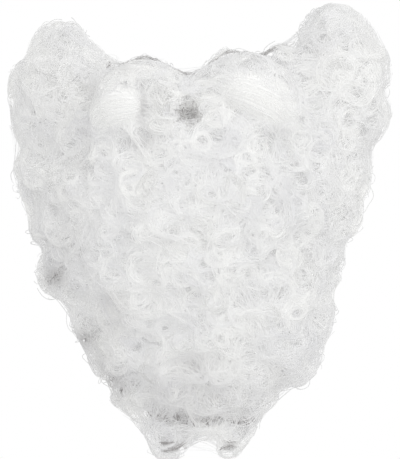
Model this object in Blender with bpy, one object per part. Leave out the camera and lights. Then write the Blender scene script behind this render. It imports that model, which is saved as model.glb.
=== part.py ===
"""White curly false beard with moustache and sideburns on a shaped cloth face piece, in its worn form.

The origin is the middle of the mouth opening, on the inner face of the cloth. It faces -Y and hangs to -Z.
"""

import math
import random

import bmesh
import bpy
import numpy as np
from mathutils import Vector

# Driving sizes in metres. The tables below are in millimetres, and MM turns them into metres.
MM = 0.001
CLOTH = 0.0018
GAP = 0.0005
MOUTH_WIDTH = 0.050
MOUTH_HEIGHT = 0.015
LIP_GAP_WIDTH = 0.040
LIP_GAP_HEIGHT = 0.011
NOSE_RADIUS = 0.028
NOSE_CENTRE = (-0.004, 0.057)
NOSE_ROOM_BACK = 0.030
MOUTH_ROOM_BACK = 0.012
CURL_RELIEF = 0.009
CURL_SPACING = 0.036
CURL_SIZES = (0.014, 0.018)
LOBE_CURL_SPACING = 0.031
LOBE_CURL_SIZES = (0.011, 0.014)
CHEEK_EDGE = 0.077
SIDEBURN_FOOT = -0.016
CHIN_FOOT = -0.068
TUFT_SLACK = 0.0006
PARTING = 0.001
SCALLOP_DEPTH = 0.004
SCALLOP_PITCH = 0.036
HAIR_VOXEL = 0.0028
HAIR_TRIANGLES = 4900
TUFT_VOXEL = 0.002
TUFT_TRIANGLES = 560

# The lower face that the cloth is shaped on.
# height, half width, front, depth from the front to the widest place
FACE = (
    (-66, 28, 42, 34),
    (-60, 42, 24, 58),
    (-50, 54, 8, 79),
    (-34, 61, 1, 88),
    (-15, 66, 2, 92),
    (0, 69, 0, 95),
    (15, 70, 1, 95),
    (30, 72, 3, 94),
    (60, 75, 6, 92),
    (104, 76, 8, 90),
)

# The edges of the cloth round the face.
# angle in degrees from the middle, lower edge, upper edge
CLOTH_EDGES = (
    (0, -61, 20),
    (20, -61, 22),
    (40, -56, 28),
    (60, -40, 38),
    (75, -12, 50),
    (86, 16, 56),
)

# The hair from the cheeks to the tip.
# height, left end, right end, middle of the thickness in front, the same at the ends, half thickness
HAIR = (
    (-250, -38, 52, -9, 0, 12),
    (-229, -59, 70, -10, 8, 21),
    (-205, -73, 96, -12, 15, 26),
    (-181, -90, 109, -13, 21, 29),
    (-160, -97, 115, -14, 26, 31),
    (-146, -114, 118, -15, 31, 33),
    (-122, -124, 120, -16, 36, 35),
    (-98, -126, 128, -16, 41, 36),
    (-75, -130, 142, -15, 49, 36),
    (-50, -138, 147, -13, 60, 35),
    (-25, -137, 150, -10, 68, 33),
    (0, -124, 134, -6, 70, 30),
    (20, -104, 112, -2, 66, 27),
    (34, -84, 90, 4, 58, 21),
    (44, -66, 70, 13, 46, 12),
)

# The lobes that rise beside the cheeks, the hair on the cheeks between them and the moustache, and the two
# tufts at the tip.
# height, left side, right side, middle of the thickness, half thickness
LOBES = {
    "left sideburn": (
        (-48, -132, -92, 64, 24),
        (-20, -140, -78, 63, 34),
        (10, -145, -73, 62, 38),
        (35, -143, -73, 62, 38),
        (50, -135, -76, 62, 34),
        (62, -125, -84, 62, 27),
        (75, -112, -94, 62, 13),
    ),
    "right sideburn": (
        (-48, 96, 144, 64, 24),
        (-20, 80, 154, 63, 34),
        (10, 75, 159, 62, 38),
        (35, 75, 162, 62, 38),
        (50, 77, 158, 62, 36),
        (62, 83, 152, 62, 32),
        (75, 92, 144, 62, 24),
        (86, 106, 130, 62, 11),
    ),
    "left cheek": (
        (26, -92, -46, 36, 20),
        (38, -88, -50, 40, 18),
        (47, -82, -60, 46, 9),
    ),
    "right cheek": (
        (26, 46, 96, 36, 20),
        (44, 50, 92, 40, 18),
        (57, 62, 88, 48, 9),
    ),
    "left tip": (
        (-276, -27, -5, -7, 9),
        (-264, -36, 4, -7, 13),
        (-250, -41, 15, -8, 16),
        (-226, -46, 16, -9, 18),
    ),
    "right tip": (
        (-276, 23, 37, -7, 8),
        (-264, 18, 46, -7, 12),
        (-250, 20, 56, -8, 15),
        (-226, 12, 60, -9, 18),
    ),
}

# The brushed tufts of the moustache, from the parting under the nose to the tip.
# outwards from the parting, forwards, up, radius
MOUSTACHE_LEFT = (
    (1.5, 9, 17, 9),
    (20, 18, 24, 14),
    (39, 23, 25, 18),
    (56, 20, 11, 19),
    (66, 10, -4, 14),
    (72, 2, -15, 7),
)
MOUSTACHE_RIGHT = (
    (1.5, 9, 17, 9),
    (22, 18, 26, 14),
    (44, 23, 30, 19),
    (63, 19, 18, 21),
    (75, 9, 0, 15),
    (81, 1, -13, 7),
)
# name, path, side of the parting
TUFTS = (("moustache_left", MOUSTACHE_LEFT, -1), ("moustache_right", MOUSTACHE_RIGHT, 1))


def smooth(rows, at):
    """A table's columns at one value of the first, on a smooth curve through its rows."""
    table = np.array(rows, float)
    slopes = np.gradient(table, table[:, 0], axis=0)
    low = int(np.clip(np.searchsorted(table[:, 0], at) - 1, 0, len(table) - 2))
    span = table[low + 1, 0] - table[low, 0]
    t = float(np.clip((at - table[low, 0]) / span, 0, 1))
    start = (2 * t**3 - 3 * t**2 + 1) * table[low] + (t**3 - 2 * t**2 + t) * span * slopes[low]
    end = (3 * t**2 - 2 * t**3) * table[low + 1] + (t**3 - t**2) * span * slopes[low + 1]
    return (start + end)[1:]


def signed_power(value, power):
    return math.copysign(abs(value) ** power, value)


def mesh_from(points, faces, name):
    mesh = bpy.data.meshes.new(name)
    mesh.from_pydata([tuple(point) for point in points], [], faces)
    shape = bmesh.new()
    shape.from_mesh(mesh)
    bmesh.ops.recalc_face_normals(shape, faces=shape.faces)
    shape.to_mesh(mesh)
    shape.free()
    return mesh


def lofted(rings, name):
    """A closed mesh through rings of equal length, with each end closed to a point in its middle."""
    count = len(rings[0])
    points = [point for ring in rings for point in ring]
    faces = []
    for row in range(len(rings) - 1):
        for column in range(count):
            after = (column + 1) % count
            faces.append(
                (
                    row * count + column,
                    row * count + after,
                    (row + 1) * count + after,
                    (row + 1) * count + column,
                )
            )
    for row in (0, len(rings) - 1):
        points.append(sum((Vector(point) for point in rings[row]), Vector()) / count)
        for column in range(count):
            faces.append((row * count + column, row * count + (column + 1) % count, len(points) - 1))
    return mesh_from(points, faces, name)


def tube(path, radii, sides, name):
    """A closed round tube along a path, with a radius at each of its points."""
    rings = []
    across = Vector((0, 0, 1))
    for index, point in enumerate(path):
        ahead = path[min(index + 1, len(path) - 1)] - path[max(index - 1, 0)]
        ahead.normalize()
        across = across - ahead * across.dot(ahead)
        if across.length < 0.1:
            across = ahead.orthogonal()
        across.normalize()
        other = ahead.cross(across)
        turns = [2 * math.pi * side / sides for side in range(sides)]
        rings.append(
            [point + radii[index] * (across * math.cos(turn) + other * math.sin(turn)) for turn in turns]
        )
    return lofted(rings, name)


def object_of(mesh, name):
    obj = bpy.data.objects.new(name, mesh)
    bpy.context.scene.collection.objects.link(obj)
    return obj


def joined(meshes, name):
    """One mesh that holds all the given ones, still as separate closed shapes."""
    shape = bmesh.new()
    for mesh in meshes:
        shape.from_mesh(mesh)
        bpy.data.meshes.remove(mesh)
    whole = bpy.data.meshes.new(name)
    shape.to_mesh(whole)
    shape.free()
    return whole


def evaluated(obj):
    """A new mesh of the object as its modifiers make it. The object goes."""
    graph = bpy.context.evaluated_depsgraph_get()
    mesh = bpy.data.meshes.new_from_object(obj.evaluated_get(graph), depsgraph=graph)
    bpy.data.objects.remove(obj)
    return mesh


def largest_shell(mesh):
    """Keeps the biggest closed surface of the mesh, so that no crumb or sealed pocket is left."""
    shape = bmesh.new()
    shape.from_mesh(mesh)
    unseen = set(shape.faces)
    shells = []
    while unseen:
        front = [unseen.pop()]
        shell = list(front)
        while front:
            face = front.pop()
            for edge in face.edges:
                for other in edge.link_faces:
                    if other in unseen:
                        unseen.remove(other)
                        front.append(other)
                        shell.append(other)
        shells.append(shell)
    shells.sort(key=len)
    bmesh.ops.delete(shape, geom=[face for shell in shells[:-1] for face in shell], context="FACES")
    shape.to_mesh(mesh)
    shape.free()
    return mesh


def fused(mesh, voxel, triangles):
    """The shapes of a mesh melted into one skin and thinned to about the given number of triangles."""
    obj = object_of(mesh, "fusing")
    remesh = obj.modifiers.new("melt", "REMESH")
    remesh.mode = "VOXEL"
    remesh.voxel_size = voxel
    skin = largest_shell(evaluated(obj))
    obj = object_of(skin, "thinning")
    soften = obj.modifiers.new("soften", "SMOOTH")
    soften.factor = 0.5
    soften.iterations = 4
    thin = obj.modifiers.new("thin", "DECIMATE")
    thin.ratio = triangles / (2 * len(skin.polygons))
    thin.use_collapse_triangulate = True
    return evaluated(obj)


def carved(mesh, cutters, operation="DIFFERENCE"):
    """The mesh cut by each cutter in turn, with loose crumbs dropped."""
    obj = object_of(mesh.copy(), "carving")
    for cutter in cutters:
        cut = obj.modifiers.new(cutter.name, "BOOLEAN")
        cut.operation = operation
        cut.object = cutter
    return largest_shell(evaluated(obj))


def hidden(mesh, name):
    """A cutter, left out of the model itself."""
    obj = object_of(mesh, name)
    obj.hide_render = True
    obj.display_type = "WIRE"
    return obj


def prism_cutter(outline, front, back, name):
    """A cutter with an outline of (x, z) places that runs straight from front to back."""
    count = len(outline)
    points = [(x, y, z) for y in (front, back) for x, z in outline]
    faces = [tuple(range(count)), tuple(range(2 * count - 1, count - 1, -1))]
    for corner in range(count):
        after = (corner + 1) % count
        faces.append((corner, after, count + after, count + corner))
    return hidden(mesh_from(points, faces, name), name)


def slot_outline(width, height):
    """A slot with round ends."""
    end_steps = 8
    straight = (width - height) / 2
    outline = []
    for side in (1, -1):
        for step in range(end_steps + 1):
            turn = math.pi * (step / end_steps - 0.5)
            x, z = straight + height / 2 * math.cos(turn), height / 2 * math.sin(turn)
            outline.append((side * x, side * z))
    return outline


def round_outline(centre, radius):
    sides = 40
    turns = [2 * math.pi * side / sides for side in range(sides)]
    return [(centre[0] + radius * math.cos(turn), centre[1] + radius * math.sin(turn)) for turn in turns]


def region_outline(left, right, seam, beyond):
    """A region on one side of a scalloped seam, where one row of curls hangs over the next."""
    steps = 60
    outline = []
    for step in range(steps + 1):
        x = left + (right - left) * step / steps
        outline.append((x, seam + SCALLOP_DEPTH * math.sin(2 * math.pi * x / SCALLOP_PITCH)))
    return outline + [(right, beyond), (left, beyond)]


def face_point(angle, height, out=0.0):
    """A point on the face form, an angle round from the middle and a height, moved outwards from the skin."""

    def skin(turn, level):
        half_width, front, depth = smooth(FACE, level / MM) * MM
        return Vector((half_width * math.sin(turn), front + depth * (1 - math.cos(turn)), level))

    step = 0.001
    around = skin(angle + step, height) - skin(angle - step, height)
    upwards = skin(angle, height + step) - skin(angle, height - step)
    return skin(angle, height) + around.cross(upwards).normalized() * out


def face_cutter():
    """The room that the face and the cloth take up, closed behind and above."""
    columns, rows = 48, 28
    lowest, highest = (FACE[0][0] + 1) * MM, (FACE[-1][0] - 1) * MM
    rings = []
    for row in range(rows + 1):
        height = lowest + (highest - lowest) * (row / rows) ** 1.6
        turns = [2 * math.pi * column / columns for column in range(columns)]
        rings.append([face_point(turn, height, CLOTH + GAP) for turn in turns])
    return hidden(lofted(rings, "face_room"), "face_room")


def backing_mesh():
    """The cloth face piece: a wall between two copies of the face form, with a mouth opening cut through."""
    columns, rows = 34, 12
    widest = math.radians(CLOTH_EDGES[-1][0])
    layers = []
    for out in (0.0, CLOTH):
        layer = []
        for column in range(columns + 1):
            angle = widest * (2 * column / columns - 1)
            low, top = smooth(CLOTH_EDGES, abs(math.degrees(angle))) * MM
            for row in range(rows + 1):
                layer.append(face_point(angle, low + (top - low) * row / rows, out))
        layers.append(layer)
    points = layers[0] + layers[1]
    high = len(layers[0])
    stride = rows + 1
    faces = []
    for column in range(columns):
        for row in range(rows):
            corner = column * stride + row
            quad = (corner, corner + stride, corner + stride + 1, corner + 1)
            faces.append(quad)
            faces.append(tuple(high + index for index in reversed(quad)))
        for row in (0, rows):
            corner = column * stride + row
            faces.append((corner, corner + stride, high + corner + stride, high + corner))
    for column in (0, columns):
        for row in range(rows):
            corner = column * stride + row
            faces.append((corner, corner + 1, high + corner + 1, high + corner))
    return mesh_from(points, faces, "backing")


def hair_point(turn, height):
    """A point on the bent section of the main hair. Turn 0 is the right end, a quarter turn the front."""
    left, right, middle, ends, half_depth = smooth(HAIR, height / MM) * MM
    across = signed_power(math.cos(turn), 0.9)
    depth = signed_power(math.sin(turn), 0.65)
    half_width = (right - left) / 2 - CURL_RELIEF
    bend = middle + (ends - middle) * abs(across) ** 2.2
    x = (left + right) / 2 + half_width * across
    return Vector((x, bend - (half_depth - CURL_RELIEF) * depth, height))


def lobe_point(rows, turn, height):
    """A point on the rounded section of a sideburn or of a tuft at the tip."""
    left, right, middle, half_depth = smooth(rows, height / MM) * MM
    shrink = min(CURL_RELIEF, half_depth / 3)
    across = signed_power(math.cos(turn), 0.85)
    depth = signed_power(math.sin(turn), 0.85)
    return Vector(
        (
            (left + right) / 2 + ((right - left) / 2 - shrink) * across,
            middle - (half_depth - shrink) * depth,
            height,
        )
    )


def core_mesh(point_at, low, high, name):
    """The solid heart of a hair mass, through sections a few millimetres apart."""
    columns = 48
    rows = max(4, round((high - low) / 0.008))
    rings = []
    for row in range(rows + 1):
        height = low + (high - low) * row / rows
        rings.append([point_at(2 * math.pi * column / columns, height) for column in range(columns)])
    return lofted(rings, name)


def curl(point_at, turn, height, size, draw):
    """One lock: it leaves the mass and winds once in a ring against it, dropping and thinning to its tip."""
    steps, sides = 16, 6
    around = (point_at(turn + 0.02, height) - point_at(turn - 0.02, height)).normalized()
    downwards = (point_at(turn, height - 0.002) - point_at(turn, height + 0.002)).normalized()
    outwards = around.cross(downwards).normalized()
    hand = draw.choice((-1, 1))
    winding = draw.uniform(0.85, 1.1) * 2 * math.pi
    first = draw.uniform(0, 2 * math.pi)
    path, radii = [], []
    for step in range(steps + 1):
        along = step / steps
        angle = first + hand * winding * along
        reach = size * (1 - 0.3 * along)
        centre = point_at(turn, height) + size * (downwards * 0.5 * along + outwards * (0.15 + 0.3 * along))
        path.append(centre + around * reach * math.cos(angle) + downwards * reach * math.sin(angle))
        radii.append(size * (0.46 - 0.2 * along))
    return tube(path, radii, sides, "curl")


def curls_over(point_at, low, high, spacing, sizes, seed):
    """Locks in staggered rows all round a hair mass, evenly spaced along each row, one row below another."""
    draw = random.Random(seed)
    made = []
    rows = max(1, round((high - low) / spacing))
    turns = np.linspace(0, 2 * math.pi, 121)
    for row in range(rows + 1):
        height = low + (high - low) * row / rows
        outline = np.array([point_at(turn, height) for turn in turns])
        run = np.concatenate([[0], np.cumsum(np.linalg.norm(np.diff(outline, axis=0), axis=1))])
        count = max(3, round(run[-1] / spacing))
        for place in range(count):
            share = (place + 0.5 * (row % 2) + draw.uniform(-0.15, 0.15)) / count
            turn = float(np.interp(share % 1 * run[-1], run, turns))
            drop = draw.uniform(-0.15, 0.15) * spacing
            made.append(curl(point_at, turn, height + drop, draw.uniform(*sizes), draw))
    return made


def hanging_strips(rows, seed):
    """Thin strips that hang side by side through a tuft at the tip, each to its own length."""
    draw = random.Random(seed)
    strips, steps, sides = 9, 10, 6
    sideways, thick, thinning = 0.0025, 0.0055, 0.0025
    low, top = rows[0][0] * MM, rows[-1][0] * MM
    made = []
    for strip in range(strips):
        turn = 2 * math.pi * (strip + draw.uniform(-0.2, 0.2)) / strips
        phase = draw.uniform(0, 2 * math.pi)
        length = (top - low) * draw.uniform(0.8, 0.97)
        path, radii = [], []
        for step in range(steps + 1):
            along = step / steps
            height = top - length * along
            middle = (lobe_point(rows, 0, height) + lobe_point(rows, math.pi, height)) / 2
            sway = sideways * math.sin(phase + 7 * along)
            path.append(middle.lerp(lobe_point(rows, turn, height), 0.75) + Vector((sway, sway, 0)))
            radii.append(thick - thinning * along)
        made.append(tube(path, radii, sides, "strip"))
    return made


def hair_mesh():
    """The whole curly mass but the moustache, melted into one skin."""
    margin = 0.014
    low, high = HAIR[0][0] * MM, HAIR[-1][0] * MM
    shapes = [core_mesh(hair_point, low, high, "main core")]
    shapes += curls_over(hair_point, low + margin, high - margin, CURL_SPACING, CURL_SIZES, 11)
    for seed, (name, rows) in enumerate(LOBES.items(), start=21):
        low, high = rows[0][0] * MM, rows[-1][0] * MM

        def point_at(turn, height, rows=rows):
            return lobe_point(rows, turn, height)

        shapes.append(core_mesh(point_at, low, high, name))
        if "sideburn" in name:
            ends = low + margin, high - margin
            shapes += curls_over(point_at, *ends, LOBE_CURL_SPACING, LOBE_CURL_SIZES, seed)
        if "tip" in name:
            shapes += hanging_strips(rows, seed)
    return fused(joined(shapes, "hair"), HAIR_VOXEL, HAIR_TRIANGLES)


def tuft_path(rows, side):
    """The middle line of a moustache tuft with its radii. side is -1 on the left, 1 on the right."""
    steps = 15
    places = np.cumsum([0] + [math.dist(a[:3], b[:3]) for a, b in zip(rows, rows[1:])])
    table = [(place, *row) for place, row in zip(places, rows)]
    path, radii = [], []
    for step in range(steps + 1):
        out, forwards, up, radius = smooth(table, places[-1] * step / steps) * MM
        path.append(Vector((side * out, -forwards, up)))
        radii.append(float(radius))
    return path, radii


def tuft_mesh(rows, side, name):
    """A moustache tuft: brushed locks laid side by side round a core, melted into one skin."""
    path, radii = tuft_path(rows, side)
    core_share, core_sides = 0.72, 10
    locks, lock_share, lock_sides, twist = 9, 0.36, 6, 1.1
    shapes = [tube(path, [radius * core_share for radius in radii], core_sides, name)]
    for lock in range(locks):
        start = 2 * math.pi * lock / locks
        strand = []
        for index, point in enumerate(path):
            ahead = (path[min(index + 1, len(path) - 1)] - path[max(index - 1, 0)]).normalized()
            up = (Vector((0, 0, 1)) - ahead * ahead.z).normalized()
            angle = start + twist * index / len(path)
            aside = up * math.cos(angle) + ahead.cross(up) * math.sin(angle)
            strand.append(point + aside * radii[index] * (1 - lock_share))
        shapes.append(tube(strand, [radius * lock_share for radius in radii], lock_sides, "brushed lock"))
    return fused(joined(shapes, name), TUFT_VOXEL, TUFT_TRIANGLES)


def tuft_room(rows, side, clearance, name):
    """The round room along a moustache tuft, cut out of the cheek hair. The tuft stays within it."""
    sides = 16
    path, radii = tuft_path(rows, side)
    return hidden(tube(path, [radius + clearance for radius in radii], sides, name), name)


def material(name, colour, roughness):
    made = bpy.data.materials.new(name)
    made.use_nodes = True
    shader = made.node_tree.nodes["Principled BSDF"]
    shader.inputs["Base Color"].default_value = (*colour, 1)
    shader.inputs["Roughness"].default_value = roughness
    shader.inputs["Metallic"].default_value = 0
    return made


def finished(mesh, name, colour, roughness):
    """The sub-part itself, with its own material and smooth shading."""
    obj = object_of(mesh, name)
    mesh.name = name
    mesh.materials.clear()
    mesh.materials.append(material(name, colour, roughness))
    mesh.shade_smooth()
    return obj


def clear_scene():
    for obj in list(bpy.data.objects):
        bpy.data.objects.remove(obj)


def main():
    clear_scene()
    front, back, far = -0.12, 0.14, 0.34
    face = face_cutter()
    nose = prism_cutter(round_outline(NOSE_CENTRE, NOSE_RADIUS), front, NOSE_ROOM_BACK, "nose_room")
    mouth = prism_cutter(slot_outline(MOUTH_WIDTH, MOUTH_HEIGHT), front, MOUTH_ROOM_BACK, "mouth_slot")
    lips = prism_cutter(slot_outline(LIP_GAP_WIDTH, LIP_GAP_HEIGHT), front, MOUTH_ROOM_BACK, "lip_gap")
    grooves = [tuft_room(rows, side, TUFT_SLACK + GAP, f"{name}_groove") for name, rows, side in TUFTS]
    parting_half = PARTING / 2
    slit = [(parting_half, far), (-parting_half, far), (-parting_half, -far), (parting_half, -far)]
    parting = prism_cutter(slit, front, back, "parting")

    cloth = carved(backing_mesh(), [mouth])
    hair = carved(hair_mesh(), [face, nose, lips, *grooves])
    white, cloth_white = (0.90, 0.90, 0.89), (0.82, 0.82, 0.80)
    finished(cloth, "backing", cloth_white, 0.9)

    # A sideburn keeps the hair in its region. The region grown by the gap is taken from the curls beside it.
    beside = []
    for name, side in (("sideburn_left", -1), ("sideburn_right", 1)):
        regions = []
        for grow in (0, GAP):
            ends = sorted((side * (CHEEK_EDGE - grow), side * far))
            outline = region_outline(*ends, SIDEBURN_FOOT - grow, far)
            regions.append(prism_cutter(outline, front, back, f"{name}_region"))
        finished(carved(hair, [regions[0]], "INTERSECT"), name, white, 0.6)
        beside.append(regions[1])
    below = prism_cutter(region_outline(-far, far, CHIN_FOOT + GAP / 2, -far), front, back, "below_chin")
    above = prism_cutter(region_outline(-far, far, CHIN_FOOT - GAP / 2, far), front, back, "above_chin")
    finished(carved(hair, [*beside, below]), "chin_curls", white, 0.6)
    finished(carved(hair, [above]), "beard_length", white, 0.6)

    for name, rows, side in TUFTS:
        tuft = carved(tuft_mesh(rows, side, name), [face, parting])
        envelope = tuft_room(rows, side, TUFT_SLACK, f"{name}_envelope")
        finished(carved(tuft, [envelope], "INTERSECT"), name, white, 0.45)


main()
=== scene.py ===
"""A long white curly false beard with its moustache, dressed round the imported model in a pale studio."""

import math
from collections import namedtuple

import bmesh
import bpy
import numpy as np
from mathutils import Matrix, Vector
from mathutils.bvhtree import BVHTree
from mathutils.kdtree import KDTree


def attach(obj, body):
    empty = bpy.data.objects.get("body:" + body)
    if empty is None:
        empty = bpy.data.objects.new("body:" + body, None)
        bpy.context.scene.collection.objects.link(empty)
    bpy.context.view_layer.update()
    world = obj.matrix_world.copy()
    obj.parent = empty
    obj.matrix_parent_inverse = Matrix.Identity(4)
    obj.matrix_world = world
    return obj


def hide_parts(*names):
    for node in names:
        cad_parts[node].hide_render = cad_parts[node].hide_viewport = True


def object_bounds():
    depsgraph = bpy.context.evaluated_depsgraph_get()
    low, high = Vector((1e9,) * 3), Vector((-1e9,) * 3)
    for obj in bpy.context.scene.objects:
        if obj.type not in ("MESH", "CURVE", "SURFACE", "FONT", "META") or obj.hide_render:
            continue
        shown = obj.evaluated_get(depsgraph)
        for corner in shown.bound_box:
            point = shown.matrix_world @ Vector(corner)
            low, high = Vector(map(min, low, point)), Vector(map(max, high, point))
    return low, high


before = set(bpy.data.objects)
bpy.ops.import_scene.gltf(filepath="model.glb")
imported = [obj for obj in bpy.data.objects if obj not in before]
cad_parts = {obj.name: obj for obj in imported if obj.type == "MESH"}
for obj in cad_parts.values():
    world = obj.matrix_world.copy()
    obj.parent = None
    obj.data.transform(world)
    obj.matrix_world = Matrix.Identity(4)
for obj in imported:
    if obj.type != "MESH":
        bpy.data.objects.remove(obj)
cad_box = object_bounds()
MM = 0.001


# The face cloth is one piece of white knit, moulded over the chin, cheeks and upper lip, with an opening for
# the mouth. Its edges are turned over and stitched down, which leaves a soft round hem.
HEM_RADIUS = 1.5 * MM
HEM_SIDES = 8
HEM_STEP = 2.5 * MM
SHARP_EDGE = math.radians(40)
MOUTH_REACH = 30 * MM
FACE_DEPTH = 95 * MM
CUP_RADIUS = 80 * MM
KNIT_PITCH = 1.6 * MM
KNIT_DEPTH = 0.4 * MM
CLOTH_WHITE = (0.92, 0.92, 0.90, 1)
CLOTH_SHADE = (0.78, 0.78, 0.77, 1)


def new_object(name, mesh):
    made = bpy.data.objects.new(name, mesh)
    bpy.context.scene.collection.objects.link(made)
    return made


def evaluated(obj):
    """A new mesh of the object as its modifiers make it. The object goes."""
    graph = bpy.context.evaluated_depsgraph_get()
    mesh = bpy.data.meshes.new_from_object(obj.evaluated_get(graph), depsgraph=graph)
    bpy.data.objects.remove(obj)
    return mesh


def vertex_array(mesh):
    flat = np.empty(len(mesh.vertices) * 3, np.float32)
    mesh.vertices.foreach_get("co", flat)
    return flat.reshape(-1, 3).astype(float)


def unit(vectors):
    return vectors / np.maximum(np.linalg.norm(vectors, axis=-1, keepdims=True), 1e-12)


def node_tree(name):
    """A new material with its Principled shader, and the tree that holds it."""
    made = bpy.data.materials.new(name)
    made.use_nodes = True
    return made, made.node_tree, made.node_tree.nodes["Principled BSDF"]


def float_attribute(mesh, name, values):
    mesh.attributes.new(name, "FLOAT", "POINT").data.foreach_set("value", np.asarray(values, np.float32))


def wall_rims(shape, side):
    """The closed edges of the cloth's wall on its skin side (1) or its hair side (-1), as points."""
    middle = [face for face in shape.faces if face.calc_center_median().xz.length < MOUTH_REACH]
    front = [max(middle, key=lambda face: side * face.normal.y)]
    wall = set(front)
    while front:
        for edge in front.pop().edges:
            if edge.calc_face_angle(0) < SHARP_EDGE:
                beyond = set(edge.link_faces) - wall
                wall |= beyond
                front.extend(beyond)
    rim = {edge for edge in shape.edges if len(wall.intersection(edge.link_faces)) == 1}
    loops = []
    while rim:
        edge = rim.pop()
        here = edge.verts[1]
        line = [edge.verts[0].co[:], here.co[:]]
        while onward := next((other for other in here.link_edges if other in rim), None):
            rim.discard(onward)
            here = onward.other_vert(here)
            line.append(here.co[:])
        loops.append(np.array(line))
    return sorted(loops, key=len)


def even_line(points, spacing, passes):
    """A closed line redrawn with evenly spaced points and smoothed."""
    closed = np.vstack([points, points[:1]])
    run = np.concatenate([[0], np.cumsum(np.linalg.norm(np.diff(closed, axis=0), axis=1))])
    count = max(24, int(run[-1] / spacing))
    places = np.linspace(0, run[-1], count, endpoint=False)
    line = np.stack([np.interp(places, run, closed[:, axis]) for axis in range(3)], axis=1)
    for _ in range(passes):
        line = (np.roll(line, 1, axis=0) + 2 * line + np.roll(line, -1, axis=0)) / 4
    return line


def hem_round(shape, line):
    """A closed round hem along a closed line."""
    ahead = unit(np.roll(line, -1, axis=0) - np.roll(line, 1, axis=0))
    across = unit(np.cross(ahead, unit(line - line.mean(axis=0))))
    other = np.cross(ahead, across)
    rings = []
    for point, side, up in zip(line, across, other):
        turns = [2 * math.pi * step / HEM_SIDES for step in range(HEM_SIDES)]
        outwards = [side * math.cos(turn) + up * math.sin(turn) for turn in turns]
        rings.append([shape.verts.new(point + HEM_RADIUS * out) for out in outwards])
    for index, ring in enumerate(rings):
        after = rings[(index + 1) % len(rings)]
        for side in range(HEM_SIDES):
            beside = (side + 1) % HEM_SIDES
            shape.faces.new((ring[side], ring[beside], after[beside], after[side]))


# The two upper corners of the cloth lie behind the curls: little of their rise above this height is kept.
CORNER_UP = 42 * MM
CORNER_KEPT = 0.35

cloth_shape = bmesh.new()
cloth_shape.from_mesh(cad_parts["backing"].data)
bmesh.ops.remove_doubles(cloth_shape, verts=cloth_shape.verts, dist=1e-6)
for vert in cloth_shape.verts:
    vert.co.z = min(vert.co.z, CORNER_UP + (vert.co.z - CORNER_UP) * CORNER_KEPT)
hair_side = np.vstack(wall_rims(cloth_shape, -1))
hem_lines = []
for rim in wall_rims(cloth_shape, 1):
    beyond = np.array([hair_side[np.argmin(np.linalg.norm(hair_side - point, axis=1))] for point in rim])
    hem_lines.append(even_line((rim + beyond) / 2, HEM_STEP, 2))
for line in hem_lines:
    hem_round(cloth_shape, line)
bmesh.ops.recalc_face_normals(cloth_shape, faces=cloth_shape.faces)
cloth_mesh = bpy.data.meshes.new("face_cloth")
cloth_shape.to_mesh(cloth_mesh)
cloth_shape.free()
cloth_mesh.shade_smooth()
cloth_points = vertex_array(cloth_mesh)
around = np.arctan2(cloth_points[:, 0], FACE_DEPTH - cloth_points[:, 1])
float_attribute(cloth_mesh, "around", around * CUP_RADIUS)
float_attribute(cloth_mesh, "up", cloth_points[:, 2])


def attribute_value(tree, name):
    """The value that a mesh carries at each point under this name."""
    node = tree.nodes.new("ShaderNodeAttribute")
    node.attribute_name = name
    return node.outputs["Fac"]


def blended(tree, factor, first, second):
    """A colour between two others: each is a socket to link or a colour."""
    node = tree.nodes.new("ShaderNodeMix")
    node.data_type = "RGBA"
    tree.links.new(factor, node.inputs["Factor"])
    for name, colour in (("A", first), ("B", second)):
        if isinstance(colour, bpy.types.NodeSocket):
            tree.links.new(colour, node.inputs[name])
        else:
            node.inputs[name].default_value = colour
    return node.outputs["Result"]


def raised(tree, shader, height, depth, strength):
    """Relief on a surface: the height, from 0 to 1, stands up by the depth."""
    bump = tree.nodes.new("ShaderNodeBump")
    bump.inputs["Distance"].default_value = depth
    bump.inputs["Strength"].default_value = strength
    tree.links.new(height, bump.inputs["Height"])
    tree.links.new(bump.outputs["Normal"], shader.inputs["Normal"])


def math_node(tree, operation, *values):
    """A Math node: each value is a socket to link or a number."""
    node = tree.nodes.new("ShaderNodeMath")
    node.operation = operation
    for index, value in enumerate(values):
        if isinstance(value, bpy.types.NodeSocket):
            tree.links.new(value, node.inputs[index])
        else:
            node.inputs[index].default_value = value
    return node.outputs[0]


cloth_material, tree, shader = node_tree("face_cloth_knit")
stitch_angle = math_node(tree, "MULTIPLY", attribute_value(tree, "around"), 2 * math.pi / KNIT_PITCH)
course_angle = math_node(tree, "MULTIPLY", attribute_value(tree, "up"), 2 * math.pi / (0.8 * KNIT_PITCH))
leg = math_node(tree, "ABSOLUTE", math_node(tree, "SINE", math_node(tree, "MULTIPLY", stitch_angle, 0.5)))
bow = math_node(tree, "SINE", math_node(tree, "ADD", course_angle, math_node(tree, "MULTIPLY", leg, 2.5)))
stitches = math_node(tree, "MULTIPLY_ADD", bow, 0.35, leg)
raised(tree, shader, stitches, KNIT_DEPTH, 0.8)
tree.links.new(blended(tree, stitches, CLOTH_SHADE, CLOTH_WHITE), shader.inputs["Base Color"])
shader.inputs["Roughness"].default_value = 0.9
shader.inputs["Sheen Weight"].default_value = 0.3

face_cloth = new_object("face_cloth", cloth_mesh)
cloth_mesh.materials.clear()
cloth_mesh.materials.append(cloth_material)
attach(face_cloth, "root")
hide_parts("backing")


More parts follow.
